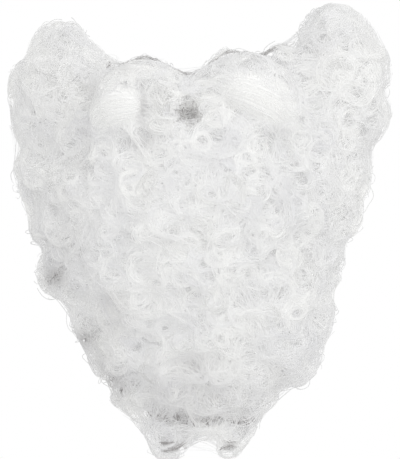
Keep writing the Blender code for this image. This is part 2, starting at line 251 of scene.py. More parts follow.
# Under the locks the curled fibre is packed into one soft mass, which fills out the cheeks, the lobes and
# the long hanging part. It is the same white synthetic hair, sewn to the cloth in rows, and shows swirls.
CURLY_NODES = ("chin_curls", "beard_length", "sideburn_left", "sideburn_right")
MOUSTACHE_NODES = ("moustache_left", "moustache_right")
MASS_VOXEL = 3 * MM
MASS_INSET = 2.8 * MM
SWIRL_SIZE = 20 * MM
SWIRL_WANDER = 7 * MM
FIBRE_PITCH = 1.7 * MM
FIBRE_DEPTH = 1.2 * MM
MASS_LIGHT = (0.96, 0.96, 0.95, 1)
MASS_SHADE = (0.88, 0.88, 0.89, 1)
# Painted shade: the dark colour that the hollows mix the fibre towards.
PAINTED_HOLLOW_SHADE = (0.20, 0.18, 0.18, 1)
# GLOW is painted light: the fibre's constant emission, which lifts its shade.
GLOW = 0.14


def melted(mesh, voxel, smoothing, inset=0.0):
    """The mesh melted into one smooth skin and shrunk by an inset, with only its largest shell kept."""
    obj = new_object("melting", mesh)
    melt = obj.modifiers.new("melt", "REMESH")
    melt.mode = "VOXEL"
    melt.voxel_size = voxel
    soften = obj.modifiers.new("soften", "SMOOTH")
    soften.iterations = smoothing
    if inset:
        shrink = obj.modifiers.new("shrink", "DISPLACE")
        shrink.strength = -inset
        shrink.mid_level = 0
        again = obj.modifiers.new("melt again", "REMESH")
        again.mode = "VOXEL"
        again.voxel_size = voxel
        settle = obj.modifiers.new("settle", "SMOOTH")
        settle.iterations = smoothing
    return largest_shell(evaluated(obj))


def largest_shell(mesh):
    shape = bmesh.new()
    shape.from_mesh(mesh)
    unseen = set(shape.verts)
    shells = []
    while unseen:
        front = [unseen.pop()]
        shell = list(front)
        while front:
            for edge in front.pop().link_edges:
                for other in edge.verts:
                    if other in unseen:
                        unseen.remove(other)
                        front.append(other)
                        shell.append(other)
        shells.append(shell)
    shells.sort(key=len)
    bmesh.ops.delete(shape, geom=[vert for shell in shells[:-1] for vert in shell], context="VERTS")
    shape.to_mesh(mesh)
    shape.free()
    return mesh


def joined_nodes(names):
    shape = bmesh.new()
    for name in names:
        shape.from_mesh(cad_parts[name].data)
    mesh = bpy.data.meshes.new("joined")
    shape.to_mesh(mesh)
    shape.free()
    return mesh


def swirl_group():
    """Fibre that winds in swirls over a mass: rings round scattered middles, broken up by noise."""
    group = bpy.data.node_groups.new("fibre_swirls", "ShaderNodeTree")
    for name, value in (("Swirl Size", SWIRL_SIZE), ("Fibre Pitch", FIBRE_PITCH), ("Wander", SWIRL_WANDER)):
        socket = group.interface.new_socket(name, in_out="INPUT", socket_type="NodeSocketFloat")
        socket.default_value = value
    group.interface.new_socket("Fibres", in_out="OUTPUT", socket_type="NodeSocketFloat")
    given = group.nodes.new("NodeGroupInput")
    place = group.nodes.new("ShaderNodeTexCoord")
    noise = group.nodes.new("ShaderNodeTexNoise")
    noise.inputs["Scale"].default_value = 90
    noise.inputs["Detail"].default_value = 3
    group.links.new(place.outputs["Object"], noise.inputs["Vector"])
    centred = group.nodes.new("ShaderNodeVectorMath")
    centred.operation = "SUBTRACT"
    centred.inputs[1].default_value = (0.5, 0.5, 0.5)
    group.links.new(noise.outputs["Color"], centred.inputs[0])
    wander = group.nodes.new("ShaderNodeVectorMath")
    wander.operation = "SCALE"
    group.links.new(centred.outputs[0], wander.inputs[0])
    group.links.new(given.outputs["Wander"], wander.inputs["Scale"])
    moved = group.nodes.new("ShaderNodeVectorMath")
    moved.operation = "ADD"
    group.links.new(place.outputs["Object"], moved.inputs[0])
    group.links.new(wander.outputs[0], moved.inputs[1])
    cells = group.nodes.new("ShaderNodeTexVoronoi")
    group.links.new(moved.outputs[0], cells.inputs["Vector"])
    scale = math_node(group, "DIVIDE", 1.0, given.outputs["Swirl Size"])
    group.links.new(scale, cells.inputs["Scale"])
    reach = math_node(group, "MULTIPLY", cells.outputs["Distance"], given.outputs["Swirl Size"])
    fibres = math_node(group, "DIVIDE", reach, given.outputs["Fibre Pitch"])
    turns = math_node(group, "MULTIPLY", fibres, 2 * math.pi)
    rings = math_node(group, "MULTIPLY_ADD", math_node(group, "SINE", turns), 0.5, 0.5)
    out = group.nodes.new("NodeGroupOutput")
    group.links.new(rings, out.inputs["Fibres"])
    return group


def tint_group():
    """Colour of fibre from its own tone, a slow drift over the beard and the painted shade of its hollow."""
    group = bpy.data.node_groups.new("fibre_tint", "ShaderNodeTree")
    for name in ("Shade", "Light"):
        group.interface.new_socket(name, in_out="INPUT", socket_type="NodeSocketColor")
    for name in ("Tone", "Hollow"):
        group.interface.new_socket(name, in_out="INPUT", socket_type="NodeSocketFloat")
    group.interface.new_socket("Color", in_out="OUTPUT", socket_type="NodeSocketColor")
    group.interface.new_socket("Drift", in_out="OUTPUT", socket_type="NodeSocketFloat")
    given = group.nodes.new("NodeGroupInput")
    place = group.nodes.new("ShaderNodeTexCoord")
    noise = group.nodes.new("ShaderNodeTexNoise")
    noise.inputs["Scale"].default_value = 22
    noise.inputs["Detail"].default_value = 2
    group.links.new(place.outputs["Object"], noise.inputs["Vector"])
    drift = math_node(group, "MULTIPLY_ADD", noise.outputs["Fac"], 0.8, -0.4)
    factor = math_node(group, "ADD", drift, given.outputs["Tone"])
    colour = blended(group, factor, given.outputs["Shade"], given.outputs["Light"])
    colour = blended(group, given.outputs["Hollow"], colour, PAINTED_HOLLOW_SHADE)
    out = group.nodes.new("NodeGroupOutput")
    group.links.new(colour, out.inputs["Color"])
    group.links.new(noise.outputs["Fac"], out.inputs["Drift"])
    return group


fibre_swirls = swirl_group()
fibre_tint = tint_group()


def tinted(tree, shader, tone, shade, light):
    """Gives a shader the fibre's tint between its shade and its light, and returns the drift of the tint."""
    tint = tree.nodes.new("ShaderNodeGroup")
    tint.node_tree = fibre_tint
    tint.inputs["Shade"].default_value = shade
    tint.inputs["Light"].default_value = light
    tree.links.new(tone, tint.inputs["Tone"])
    tree.links.new(attribute_value(tree, "shade"), tint.inputs["Hollow"])
    tree.links.new(tint.outputs["Color"], shader.inputs["Base Color"])
    return tint.outputs["Drift"]


def glowing(shader, strength):
    """Painted light: a small constant glow, for the light that white fibre passes from strand to strand."""
    shader.inputs["Emission Color"].default_value = (1, 1, 1, 1)
    shader.inputs["Emission Strength"].default_value = strength


# A row of roots above the two end tufts pulls the hair in, which gives it a waist and a groove there.
WAIST_UP = -242 * MM
WAIST_HEIGHT = 9 * MM
WAIST_SHARE = 0.16
WAIST_GROOVE = 4 * MM


def waisted(mesh):
    """The hair drawn in to a waist above the two end tufts, with a groove across its front."""
    points = vertex_array(mesh)
    near = np.exp(-(((points[:, 2] - WAIST_UP) / WAIST_HEIGHT) ** 2))
    points[:, 0] *= 1 - WAIST_SHARE * near
    points[:, 1] += np.where(points[:, 1] < 0, WAIST_GROOVE * near**2, 0)
    mesh.vertices.foreach_set("co", points.astype(np.float32).ravel())
    mesh.update()
    return mesh


mass_mesh = waisted(melted(joined_nodes(CURLY_NODES + MOUSTACHE_NODES), MASS_VOXEL, 5, MASS_INSET))
mass_mesh.name = "hair_mass"
mass_mesh.shade_smooth()

mass_material, tree, shader = node_tree("packed_curled_hair")
swirls = tree.nodes.new("ShaderNodeGroup")
swirls.node_tree = fibre_swirls
tinted(tree, shader, swirls.outputs["Fibres"], MASS_SHADE, MASS_LIGHT)
raised(tree, shader, swirls.outputs["Fibres"], FIBRE_DEPTH, 0.8)
shader.inputs["Roughness"].default_value = 0.8
shader.inputs["Specular IOR Level"].default_value = 0.2
glowing(shader, GLOW)

hair_mass = new_object("hair_mass", mass_mesh)
mass_mesh.materials.clear()
mass_mesh.materials.append(mass_material)
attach(hair_mass, "root")
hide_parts(*CURLY_NODES)


# The curls are locks of white synthetic fibre, set on rods in rings 12 to 54 mm across and sewn on in rows,
# each row over the next. The strands of a lock wind together, drop a little and fray towards their tips.
STRAND_RADIUS = (0.19 * MM, 0.31 * MM)
PROUD = 2.2 * MM
LOBE_SPRING = 3.5 * MM
SUNK = 4.0 * MM
BURIED = 1.6 * MM
FACE_HALF_WIDTH = 84 * MM
FACE_FOOT = -66 * MM

# A kind of lock: its share of all the locks, its least and most radius in mm, its fewest and most turns, its
# strands and how far they spread in mm, its most tilt in degrees, and how deep its middle lies in mm.
Lock = namedtuple("Lock", "share least most few many strands spread tilt depth")
LOCKS = (
    Lock(0.26, 8.0, 13.0, 1.1, 1.8, 15, 2.2, 32, 1.2),
    Lock(0.22, 12.0, 20.0, 0.8, 1.3, 14, 3.6, 30, 1.2),
    Lock(0.06, 6.0, 9.0, 1.2, 2.0, 11, 2.0, 55, 1.2),
    Lock(0.22, 8.0, 15.0, 0.8, 1.4, 14, 6.5, 50, 1.6),
    Lock(0.12, 18.0, 27.0, 0.5, 0.9, 14, 6.0, 15, 1.6),
    Lock(0.12, 9.0, 13.5, 1.2, 1.7, 12, 1.7, 25, -0.8),
)


def smooth_normals(mesh, passes):
    """A normal for each vertex, averaged with its neighbours a number of times over."""
    edges = np.empty(len(mesh.edges) * 2, np.int32)
    mesh.edges.foreach_get("vertices", edges)
    first, second = edges.reshape(-1, 2).T
    flat = np.empty(len(mesh.vertices) * 3, np.float32)
    mesh.vertices.foreach_get("normal", flat)
    normals = flat.reshape(-1, 3).astype(float)
    for _ in range(passes):
        total = normals.copy()
        for axis in range(3):
            total[:, axis] += np.bincount(first, normals[second, axis], len(normals))
            total[:, axis] += np.bincount(second, normals[first, axis], len(normals))
        normals = unit(total)
    return normals


def spaced(points, spacing, draw):
    """Which of the points to keep so that they lie at least a spacing apart."""
    tree = KDTree(len(points))
    for index, point in enumerate(points):
        tree.insert(point, index)
    tree.balance()
    free = np.ones(len(points), bool)
    kept = []
    for index in draw.permutation(len(points)):
        if free[index]:
            kept.append(index)
            for _, near, _ in tree.find_range(points[index], spacing):
                free[near] = False
    return np.array(kept)


class Skin:
    """The outer skin of the hair, which tells how far a point stands out of it."""

    def __init__(self, mesh):
        self.points = vertex_array(mesh)
        self.fine = smooth_normals(mesh, 4)
        self.broad = smooth_normals(mesh, 30)
        faces = [tuple(face.vertices) for face in mesh.polygons]
        self.tree = BVHTree.FromPolygons([tuple(point) for point in self.points], faces)
        self.face_normals = unit(np.array([self.fine[list(face)].mean(axis=0) for face in faces]))

    def settle(self, points, proud, sunk):
        """The points, drawn in to stand at most proud out of the skin or sunk into it, and their heights."""
        flat = points.reshape(-1, 3)
        proud = np.broadcast_to(proud, points.shape[:-1]).reshape(-1)
        nearest = np.empty_like(flat)
        normals = np.empty_like(flat)
        for index, point in enumerate(flat):
            place, _, face, _ = self.tree.find_nearest(Vector(point))
            nearest[index] = place
            normals[index] = self.face_normals[face]
        out = np.einsum("ij,ij->i", flat - nearest, normals)
        aside = flat - nearest - out[:, None] * normals
        limit = np.where(out > 0, proud, sunk)
        height = limit * np.tanh(out / np.maximum(limit, 1e-6))
        drawn_in = nearest + aside + height[:, None] * normals
        return drawn_in.reshape(points.shape), height.reshape(points.shape[:-1])


def tangents(normals):
    """Two directions across each normal: one level, one upwards."""
    level = unit(np.cross((0, 0, 1), normals) + (1e-4, 0, 0))
    return level, np.cross(normals, level)


def wound_strands(centres, normals, lock, steps, draw):
    """Strands of locks wound in rings on the skin: paths, the axis that each winds about, and tones."""
    locks = len(centres)
    level, upward = tangents(normals)
    tilt = np.radians(lock.tilt) * np.sqrt(draw.random(locks))
    towards = draw.uniform(0, 2 * math.pi, locks)
    lean = level * np.cos(towards)[:, None] + upward * np.sin(towards)[:, None]
    axis = normals * np.cos(tilt)[:, None] + lean * np.sin(tilt)[:, None]
    first = unit(np.cross(upward, axis))
    second = np.cross(axis, first)
    radius = draw.uniform(lock.least, lock.most, locks) * MM
    turns = draw.uniform(lock.few, lock.many, locks)
    start = draw.uniform(0, 2 * math.pi, locks)
    hand = draw.choice((-1.0, 1.0), locks)
    narrowing = draw.uniform(0.1, 0.45, locks)
    oval = draw.uniform(0.72, 1.0, locks)
    drop = draw.uniform(0.1, 0.8, locks) * radius
    rise = draw.uniform(-0.2, 0.5, locks) * radius

    def each(values):
        return np.repeat(values, lock.strands, axis=0)

    count = locks * lock.strands
    along = np.linspace(0, 1, steps)[None, :]
    own_radius = each(radius) * draw.uniform(0.84, 1.14, count)
    own_start = each(start) + draw.normal(0, 0.25, count)
    own_turns = each(turns) * draw.uniform(0.75, 1.1, count)
    angle = own_start[:, None] + each(hand * 2 * math.pi)[:, None] * own_turns[:, None] * along
    wave = draw.uniform(0.03, 0.10, count)[:, None] * np.sin(
        angle * draw.uniform(0.5, 2.3, count)[:, None] + draw.uniform(0, 6.28, count)[:, None]
    )
    reach = own_radius[:, None] * (1 - each(narrowing)[:, None] * along + wave)
    offset = draw.normal(0, lock.spread * MM / 2, (count, 3))
    fray = draw.normal(0, lock.spread * MM / 2, (count, 3))
    paths = (
        each(centres)[:, None, :]
        + each(first)[:, None, :] * (reach * np.cos(angle))[:, :, None]
        + each(second)[:, None, :] * (reach * np.sin(angle) * each(oval)[:, None])[:, :, None]
        - each(upward)[:, None, :] * (each(drop)[:, None] * along)[:, :, None]
        + each(axis)[:, None, :] * (each(rise)[:, None] * along)[:, :, None]
        + offset[:, None, :]
        + fray[:, None, :] * along[:, :, None]
    )
    tones = each(draw.normal(0.60, 0.26, locks)) + draw.normal(0, 0.05, count)
    return paths, each(axis), np.clip(tones, 0, 1)


def softened(paths):
    """Strand paths with kinks eased, ends kept."""
    eased = paths.copy()
    eased[:, 1:-1] = (paths[:, :-2] + 2 * paths[:, 1:-1] + paths[:, 2:]) / 4
    return eased


def strand_mesh(name, paths, axes, thickness, tones, sides=3, roll=None):
    """One mesh of strands along the paths, with tone and painted shade: closed tubes, or flat fibres of two
    sides.
    """
    count, steps, _ = paths.shape
    ahead = unit(np.gradient(paths, axis=1))
    beside = unit(axes[:, None, :] - ahead * np.einsum("ijk,ik->ij", ahead, axes)[:, :, None])
    other = np.cross(ahead, beside)
    along = np.linspace(0, 1, steps)
    taper = np.minimum(1, 0.35 + 3 * (1 - along))
    radius = (thickness[:, None] * taper[None, :])[:, :, None, None]
    turns = np.zeros((count, steps, 1)) if roll is None else roll[:, :, None]
    turns = (turns + 2 * math.pi * np.arange(sides) / sides)[..., None]
    points = paths[:, :, None, :] + radius * beside[:, :, None, :] * np.cos(turns)
    points += radius * other[:, :, None, :] * np.sin(turns)
    index = np.arange(count * steps * sides).reshape(count, steps, sides)
    if sides == 2:
        corners = [index[:, :-1, 0], index[:, :-1, 1], index[:, 1:, 1], index[:, 1:, 0]]
        caps = np.empty((0, 3), int)
    else:
        beyond = np.roll(index, -1, axis=2)
        corners = [index[:, :-1], beyond[:, :-1], beyond[:, 1:], index[:, 1:]]
        caps = np.concatenate([index[:, 0, ::-1], index[:, -1, :]])
    quads = np.stack(corners, axis=-1).reshape(-1, 4)
    mesh = bpy.data.meshes.new(name)
    mesh.vertices.add(points.size // 3)
    mesh.vertices.foreach_set("co", points.astype(np.float32).ravel())
    loops = np.concatenate([quads.ravel(), caps.ravel()]).astype(np.int32)
    mesh.loops.add(len(loops))
    mesh.loops.foreach_set("vertex_index", loops)
    starts = np.concatenate([np.arange(len(quads)) * 4, len(quads) * 4 + np.arange(len(caps)) * 3])
    mesh.polygons.add(len(starts))
    mesh.polygons.foreach_set("loop_start", starts.astype(np.int32))
    mesh.update(calc_edges=True)
    mesh.shade_smooth()
    float_attribute(mesh, "tone", np.repeat(tones, steps * sides))
    float_attribute(mesh, "shade", np.repeat(painted_hollow_shade(paths).ravel(), sides))
    return mesh


def fibre_roll(count, steps, draw):
    """How far each flat fibre is turned from lying flat in its lock, with a slow twist along it."""
    own = math.pi / 2 + draw.normal(0, 0.28, count)
    return own[:, None] + draw.normal(0, 0.4, count)[:, None] * np.linspace(0, 1, steps)


def strand_material(name, shade, light, roughness, glow):
    """White synthetic fibre: each strand has its own tone, and the hair drifts a little in tint and gloss."""
    made, tree, shader = node_tree(name)
    drift = tinted(tree, shader, attribute_value(tree, "tone"), shade, light)
    rough = math_node(tree, "MULTIPLY_ADD", drift, 0.2, roughness - 0.1)
    tree.links.new(rough, shader.inputs["Roughness"])
    shader.inputs["Specular IOR Level"].default_value = 0.3
    glowing(shader, glow)
    return made


skin = Skin(waisted(melted(joined_nodes(CURLY_NODES + MOUSTACHE_NODES), MASS_VOXEL, 6)))
draw = np.random.default_rng(5)


def facing_head(points, normals):
    """Whether a place on the hair lies in the hollow that the wearer's face takes up, and faces into it."""
    axis = np.array((0, FACE_DEPTH, 0))
    inwards = (axis - points) * (1, 1, 0)
    near = (np.abs(points[:, 0]) < FACE_HALF_WIDTH) & (points[:, 1] > 0) & (points[:, 2] > FACE_FOOT)
    return near & (np.einsum("ij,ij->i", unit(inwards), normals) > 0.2)


# What the curls leave free in front: the gap over the lips and the smooth rolls of the moustache.
# middle across, middle up, half width, half height
FREE_OF_CURLS = (
    (2, 0, 7, 3.5),
    (-56, 11, 14, 15),
    (-48, 31, 19, 9),
    (54, 17, 19, 20),
)


def reach_from(points, across, up, half_width, half_height):
    """How far out of an oval on the front each point lies, squared, with 1 on the oval's edge."""
    x = (points[..., 0] / MM - across) / half_width
    z = (points[..., 2] / MM - up) / half_height
    return x**2 + z**2


def free_of_curls(points):
    free = np.zeros(len(points), bool)
    for oval in FREE_OF_CURLS:
        free |= (reach_from(points, *oval) < 1) & (points[:, 1] < 10 * MM)
    return free


# Small dark gaps between the locks, where few strands cross: the middle of the gap over the lips, and places
# where the roots show, their shade painted as short dark stubs below.
# middle across, middle up, half width, half height
LIP_GAPS = ((0, -1, 5, 3), (-7, -1, 2.5, 2), (8, -1, 2.5, 2))
SMALL_GAPS = [
    (-107, -130, 3, 4),
    (-113, -134, 1.5, 2),
    (-84, -181, 2.5, 2),
    (-62, -213, 2.5, 2),
    (-55, -221, 2.5, 2.5),
    (-20, -263, 5, 1.2),
    (-11, -267, 5, 1.2),
    (-4, -265, 3, 1.5),
    (32, -266, 4.5, 1.8),
    (-66, 40, 3, 2.5),
    (89, 60, 3, 3),
]
ROW_GAPS = 27
ROW_FROM = (-42, -241)
ROW_TO = (54, -246)
ROW_MIDDLE = 14
STRANDS_LEFT = 0.35

row_draw = np.random.default_rng(17)
for share in np.linspace(0, 1, ROW_GAPS):
    across = ROW_FROM[0] + (ROW_TO[0] - ROW_FROM[0]) * share + row_draw.normal(0, 0.8)
    up = ROW_FROM[1] + (ROW_TO[1] - ROW_FROM[1]) * share + row_draw.normal(0, 1.0)
    tallest = 4.5 if abs(across) < ROW_MIDDLE else 2.8
    SMALL_GAPS.append((across, up, row_draw.uniform(1.2, 2.4), row_draw.uniform(1.4, tallest)))


def clear_of_gaps(paths, draw):
    """Which strands to keep: most of those that would cross a small gap are left out."""
    crosses = np.zeros(len(paths), bool)
    for oval in (*LIP_GAPS, *SMALL_GAPS):
        crosses |= ((reach_from(paths, *oval) < 1) & (paths[..., 1] < 45 * MM)).any(axis=1)
    return ~crosses | (draw.random(len(paths)) < STRANDS_LEFT)


# No strand crosses from one tuft at the lower end to the other.
# middle across, middle up, half width, half height
BETWEEN_TUFTS = (9.5, -269, 9, 8)


def between_tufts(paths):
    return (reach_from(paths, *BETWEEN_TUFTS) < 1).any(axis=1)


# Hollows between the curls, where shade is painted into the colour of the locks and of the mass under them.
# middle across, middle up, half width, half height, depth of the shade
HOLLOWS = (
    (0, -1, 8, 4, 0.20),
    (-37.5, 2, 3, 12, 0.32),
    (-46, 34, 17, 6, 0.10),
    (-34, -22, 8, 7, 0.16),
    (72, -14, 9, 4, 0.12),
    (-79, 22, 5, 9, 0.10),
    (12, -243, 44, 5, 0.16),
    (-4, -226, 60, 13, 0.10),
    (-108, -130, 8, 8, 0.30),
    (-84, -180, 8, 7, 0.30),
    (-60, -216, 12, 9, 0.25),
    (-88, -39, 6, 5, 0.12),
    (-62, -168, 14, 14, 0.10),
    (68, -205, 10, 12, 0.10),
    (0, -205, 30, 14, 0.08),
    (-110, 15, 26, 45, 0.05),
    (-100, -110, 20, 30, 0.06),
    (-22, 8, 10, 18, 0.03),
    (-64, -149, 12, 10, 0.10),
    (-72, -197, 14, 10, 0.10),
    (8, -197, 14, 8, 0.08),
    (-8, -241, 14, 9, 0.08),
    (100, 55, 24, 26, 0.06),
)


def painted_hollow_shade(points):
    """How deep in the painted shade of a hollow each point lies, from 0 to 1."""
    lit = np.ones(points.shape[:-1])
    for *oval, depth in HOLLOWS:
        lit *= 1 - depth * np.exp(-reach_from(points, *oval)) * (points[..., 1] < 40 * MM)
    return 1 - lit


def proud_at(points):
    """How far curls may stand out: more on the outer sides of the lobes, where they are short and springy."""
    outer = np.clip((np.abs(points[..., 0]) - 95 * MM) / (25 * MM), 0, 1)
    high = np.clip((points[..., 2] + 60 * MM) / (40 * MM), 0, 1)
    return PROUD + LOBE_SPRING * outer * high


# Locks lie closer together in front than behind, and have more steps and strands there.
FRONT_SPACING = 8.6 * MM
BACK_SPACING = 12.5 * MM
FRONT_STEPS = 17
BACK_STEPS = 14
BACK_STRANDS = 0.6
SEEN_SHARE = 0.35
groups = []


def add_group(paths, axes, homes, tones, sides=2):
    """Keeps strands for the regions: flat fibres of two sides, or fine tubes of three."""
    groups.append((softened(paths), axes, homes, tones, sides))


front_facing = skin.broad[:, 1] < 0.25
usable = ~facing_head(skin.points, skin.broad) & ~free_of_curls(skin.points)
front_places = np.flatnonzero(front_facing & usable)
back_places = np.flatnonzero(~front_facing & usable)
front_locks = front_places[spaced(skin.points[front_places], FRONT_SPACING, draw)]
back_locks = back_places[spaced(skin.points[back_places], BACK_SPACING, draw)]

for places, steps, strand_share in ((front_locks, FRONT_STEPS, 1.0), (back_locks, BACK_STEPS, BACK_STRANDS)):
    kinds = draw.choice(len(LOCKS), len(places), p=[lock.share for lock in LOCKS])
    for kind, lock in enumerate(LOCKS):
        chosen = places[kinds == kind]
        fewer = lock._replace(strands=round(lock.strands * strand_share))
        centres = skin.points[chosen] - skin.broad[chosen] * lock.depth * MM
        paths, axes, tones = wound_strands(centres, skin.broad[chosen], fewer, steps, draw)
        settled, height = skin.settle(paths, proud_at(paths), SUNK)
        seen = (height > -BURIED).mean(axis=1) > SEEN_SHARE
        seen &= clear_of_gaps(settled, draw) & ~between_tufts(settled)
        homes = np.repeat(centres, fewer.strands, axis=0)
        add_group(settled[seen], axes[seen], homes[seen], tones[seen])

# A few more rings of hair close the notch between the left lobe and the moustache, over the cloth's corner.
# middle across, middle back, middle up
NOTCH_RINGS = (
    (-78, 38, 50),
    (-75, 46, 47),
    (-77, 56, 53),
    (-72, 52, 44),
    (-79, 66, 56),
    (-74, 66, 50),
    (-70, 40, 43),
)
NOTCH_FACING = (0.35, -0.80, 0.48)
NOTCH_PROUD = 9 * MM
NOTCH_LOCK = Lock(1.0, 5.0, 9.0, 1.0, 1.7, 13, 4.0, 40, 0.0)
notch_points = np.array(NOTCH_RINGS, float) * MM
facing = np.tile(NOTCH_FACING, (len(notch_points), 1))
paths, axes, tones = wound_strands(notch_points, facing, NOTCH_LOCK, FRONT_STEPS, draw)
homes = np.repeat(notch_points, NOTCH_LOCK.strands, axis=0)
add_group(skin.settle(paths, NOTCH_PROUD, SUNK)[0], axes, homes, tones)

# Loose rings close the two ends of the gap over the lips, so that only its middle stays dark.
# middle across, middle up
LIP_RINGS = ((-18, 0), (-16, 3), (-15, -2), (-13, 4), (13, 5), (16, -2), (17, 1), (19, 0), (20, -3))
LIP_FRONT = -33
LIP_LOCK = Lock(1.0, 3.0, 6.0, 1.0, 1.6, 13, 2.5, 35, 0.0)
lip_points = np.array([(across, LIP_FRONT, up) for across, up in LIP_RINGS], float) * MM
facing = np.tile((0.0, -1.0, 0.0), (len(lip_points), 1))
paths, axes, tones = wound_strands(lip_points, facing, LIP_LOCK, FRONT_STEPS, draw)
add_group(paths, axes, np.repeat(lip_points, LIP_LOCK.strands, axis=0), tones)

# Single stray hairs spring out round the lobes and down the sides, where the outline is fuzzy.
STRAY_HAIR = Lock(1.0, 5.0, 13.0, 0.5, 1.2, 1, 1.0, 85, 0.0)
STRAY_STEPS = 15
STRAY_SPACING = 8.5 * MM
STRAY_PROUD = 7 * MM
STRAY_SUNK = 2 * MM
STRAY_FOOT = -215 * MM
side_on = (np.abs(skin.broad[:, 1]) < 0.7) & (skin.points[:, 2] > STRAY_FOOT)
stray_places = np.flatnonzero(side_on & ~facing_head(skin.points, skin.broad))
stray_places = stray_places[spaced(skin.points[stray_places], STRAY_SPACING, draw)]
stray_points, facing = skin.points[stray_places], skin.broad[stray_places]
paths, axes, tones = wound_strands(stray_points, facing, STRAY_HAIR, STRAY_STEPS, draw)
add_group(skin.settle(paths, STRAY_PROUD, STRAY_SUNK)[0], axes, stray_points, tones, sides=3)

# Open curls and swirls that lie on top in front.
# middle across, middle up, half width, half height, lean in degrees, innermost share, strands, turns
OPEN_CURLS = (
    (36, -62, 8, 15, 8, 0.78, 14, 1.2),
    (-66, -185, 11, 10, 0, 0.72, 12, 1.3),
    (-6, -181, 11, 11, 0, 0.70, 10, 1.2),
    (-32, -55, 7, 14, -38, 0.65, 12, 1.2),
    (40, -177, 24, 20, 20, 0.25, 34, 0.9),
    (88, -125, 17, 13, 0, 0.30, 26, 1.3),
    (0, -101, 25, 22, 15, 0.35, 30, 0.8),
    (-28, -141, 28, 26, 0, 0.88, 12, 0.5),
    (108, -5, 10, 19, 12, 0.70, 16, 1.1),
    (122, 34, 15, 13, 0, 0.35, 20, 1.2),
    (-104, 31, 13, 12, 0, 0.45, 18, 1.2),
    (-88, 21, 5, 5, 0, 0.80, 8, 1.3),
    (-104, -50, 14, 17, 10, 0.45, 18, 1.0),
    (66, -84, 15, 20, -15, 0.60, 16, 0.8),
    (-27, 17, 6, 7, 0, 0.40, 12, 1.2),
    (-26, 4, 5, 7, 10, 0.40, 10, 1.2),
    (-32, -206, 10, 10, 0, 0.60, 14, 1.2),
    (-20, -173, 12, 10, 0, 0.60, 12, 1.2),
    (-40, -226, 11, 9, 0, 0.60, 12, 1.2),
    (12, -224, 9, 10, 0, 0.60, 12, 1.2),
    (38, -228, 10, 10, 0, 0.60, 12, 1.2),
    (60, -222, 10, 9, 0, 0.60, 12, 1.1),
    (20, -150, 13, 11, 0, 0.50, 14, 1.2),
    (62, -160, 12, 11, 0, 0.50, 14, 1.2),
    (-80, -95, 12, 11, 0, 0.55, 14, 1.2),
    (72, -30, 12, 11, 0, 0.55, 14, 1.1),
    (-27, -10, 7, 7, 0, 0.50, 12, 1.2),
    (-18, 13, 6, 6, 0, 0.60, 9, 1.3),
)


def open_curls(steps, draw):
    """Strands of the open curls, laid on the front of the skin, and the axis that each winds about."""
    paths, axes = [], []
    for across, up, half_width, half_height, lean, inner, strands, turns in OPEN_CURLS:
        place, normal, face, _ = skin.tree.ray_cast(Vector((across * MM, -1, up * MM)), Vector((0, 1, 0)))
        out = skin.face_normals[face] * 0.5 + (0, -0.5, 0)
        level, upward = tangents(unit(out)[None, :])
        leaning = math.radians(lean)
        first = level[0] * math.cos(leaning) + upward[0] * math.sin(leaning)
        second = upward[0] * math.cos(leaning) - level[0] * math.sin(leaning)
        share = draw.uniform(inner, 1.03, strands)[:, None]
        start = draw.uniform(0, 2 * math.pi, strands)[:, None]
        along = np.linspace(0, 1, steps)
        angle = start + 2 * math.pi * turns * draw.uniform(0.6, 1.1, strands)[:, None] * along
        share = share * (1 + 0.05 * np.sin(angle * 1.7 + start * 3)) - 0.08 * along
        shift = draw.normal(0, 0.8 * MM, (strands, 1, 3))
        middle = np.array(place) + unit(out) * 2.0 * MM
        path = middle + shift + (half_width * MM * share * np.cos(angle))[:, :, None] * first
        paths.append(path + (half_height * MM * share * np.sin(angle))[:, :, None] * second)
        axes.append(np.repeat(unit(out)[None, :], strands, axis=0))
    return np.concatenate(paths), np.concatenate(axes)


OPEN_STEPS = 21
OPEN_PROUD = PROUD + 1.2 * MM
OPEN_SUNK = 0.5 * MM
open_paths, open_axes = open_curls(OPEN_STEPS, draw)
tones = draw.uniform(0.8, 1.0, len(open_paths))
settled = skin.settle(open_paths, OPEN_PROUD, OPEN_SUNK)[0]
add_group(settled, open_axes, open_paths.mean(axis=1), tones, sides=3)

# The imported mass takes the same painted shade of the hollows as the curls on it.
float_attribute(mass_mesh, "shade", painted_hollow_shade(vertex_array(mass_mesh)))

# The curls are sewn on in regions, each a piece of its own. A lock belongs to the first region that takes it.
CURL_SHADE = (0.87, 0.87, 0.88, 1)
CURL_LIGHT = (0.98, 0.98, 0.97, 1)
curled_material = strand_material("curled_strands", CURL_SHADE, CURL_LIGHT, 0.65, GLOW)
CHEEK_EDGE = 77 * MM
SIDEBURN_FOOT = -18 * MM
CHIN_FOOT = -68 * MM
UPPER_FOOT = -118 * MM
MIDDLE_FOOT = -178 * MM
REGIONS = {
    "sideburn_left_curls": lambda at: (at[:, 0] < -CHEEK_EDGE) & (at[:, 2] > SIDEBURN_FOOT),
    "sideburn_right_curls": lambda at: (at[:, 0] > CHEEK_EDGE) & (at[:, 2] > SIDEBURN_FOOT),
    "cheek_left_curls": lambda at: (at[:, 0] <= 0) & (at[:, 2] > CHIN_FOOT),
    "cheek_right_curls": lambda at: at[:, 2] > CHIN_FOOT,
    "length_upper_curls": lambda at: at[:, 2] > UPPER_FOOT,
    "length_middle_curls": lambda at: at[:, 2] > MIDDLE_FOOT,
    "length_lower_curls": lambda at: at[:, 2] <= MIDDLE_FOOT,
}
taken = [np.zeros(len(paths), bool) for paths, *_ in groups]
